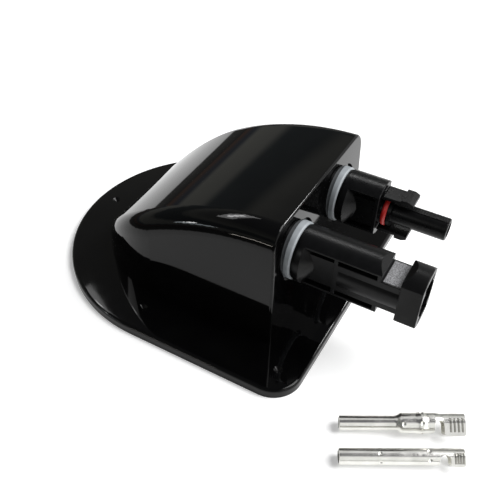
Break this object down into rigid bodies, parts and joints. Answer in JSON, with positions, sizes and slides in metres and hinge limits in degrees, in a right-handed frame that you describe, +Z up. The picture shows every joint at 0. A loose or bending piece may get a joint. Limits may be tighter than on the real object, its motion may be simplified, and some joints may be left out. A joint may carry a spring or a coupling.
{
  "type": "cable entry housing with panel connectors",
  "caption": "Domed black cable entry housing for a roof, with a wide-shell and a finger-latch photovoltaic panel connector in its front wall and loose crimp contacts beside it.",
  "frame": {"origin": "centre of the flange's outline, on the underside that lies on the roof", "axes": "+Z up from the roof; the connectors point along -Y; the wide-shell connector is on -X"},
  "size_m": [0.1157, 0.1652, 0.0482],
  "materials": {
    "housing_gloss": "polished black moulding",
    "connector_plastic": "fine eroded satin, with lightly polished curved faces",
    "nut_plastic": "moulded satin black",
    "crown_grey": "moulded satin grey",
    "gasket_grey": "smooth light grey rubber",
    "seal_black": "smooth black rubber",
    "seal_red": "smooth red rubber",
    "contact_tin": "tin-plated copper, dull bright",
    "spring_steel": "bright strip"
  },
  "bodies": {
    "housing": {"housing_shell": "housing_gloss", "pin_side_wall_gasket": "gasket_grey", "pin_side_lock_nut": "nut_plastic", "pin_side_contact_clip": "spring_steel", "pin_side_cable_seal": "seal_black", "socket_side_wall_gasket": "gasket_grey", "socket_side_lock_nut": "nut_plastic", "socket_side_contact_clip": "spring_steel", "socket_side_cable_seal": "seal_black", "pin_side_body": "connector_plastic", "socket_side_body": "connector_plastic", "nose_seal": "seal_red"},
    "latch_upper": {"latch_finger_upper": "connector_plastic"},
    "latch_lower": {"latch_finger_lower": "connector_plastic"},
    "pin_side_crown": {"pin_side_clamp_crown": "crown_grey"},
    "pin_side_nut": {"pin_side_gland_nut": "nut_plastic"},
    "socket_side_crown": {"socket_side_clamp_crown": "crown_grey"},
    "socket_side_nut": {"socket_side_gland_nut": "nut_plastic"},
    "pin_contact": {"pin_contact": "contact_tin"},
    "socket_contact": {"socket_contact": "contact_tin", "socket_contact_spring": "spring_steel"}
  },
  "joints": [
    {"name": "pin_side_crown_slide", "type": "slide", "parent": "housing", "child": "pin_side_crown", "axis": [0, 1, 0], "range_m": [0, 0.0045]},
    {"name": "pin_side_nut_turn", "type": "hinge", "parent": "pin_side_crown", "child": "pin_side_nut", "pos_m": [-0.017, -0.021, 0.0307], "axis": [0, 1, 0], "range_deg": [0, 1080]},
    {"name": "socket_side_crown_slide", "type": "slide", "parent": "housing", "child": "socket_side_crown", "axis": [0, 1, 0], "range_m": [0, 0.0045]},
    {"name": "socket_side_nut_turn", "type": "hinge", "parent": "socket_side_crown", "child": "socket_side_nut", "pos_m": [0.017, -0.021, 0.0307], "axis": [0, 1, 0], "range_deg": [0, 1080]},
    {"name": "latch_upper_flex", "type": "hinge", "parent": "housing", "child": "latch_upper", "pos_m": [0.017, -0.0562, 0.03735], "axis": [1, 0, 0], "range_deg": [0, 6], "stiffness_Nm_per_rad": 0.5},
    {"name": "latch_lower_flex", "type": "hinge", "parent": "housing", "child": "latch_lower", "pos_m": [0.017, -0.0562, 0.02405], "axis": [-1, 0, 0], "range_deg": [0, 6], "stiffness_Nm_per_rad": 0.5},
    {"name": "pin_contact_lift", "type": "slide", "parent": "housing", "child": "pin_contact", "axis": [0, 0, 1], "range_m": [0, 0.05]},
    {"name": "socket_contact_lift", "type": "slide", "parent": "housing", "child": "socket_contact", "axis": [0, 0, 1], "range_m": [0, 0.05]}
  ],
  "couplings": [
    {"joint": "pin_side_nut_turn", "follows": "pin_side_crown_slide", "rad_per_m": 4188.8},
    {"joint": "socket_side_nut_turn", "follows": "socket_side_crown_slide", "rad_per_m": 4188.8}
  ]
}
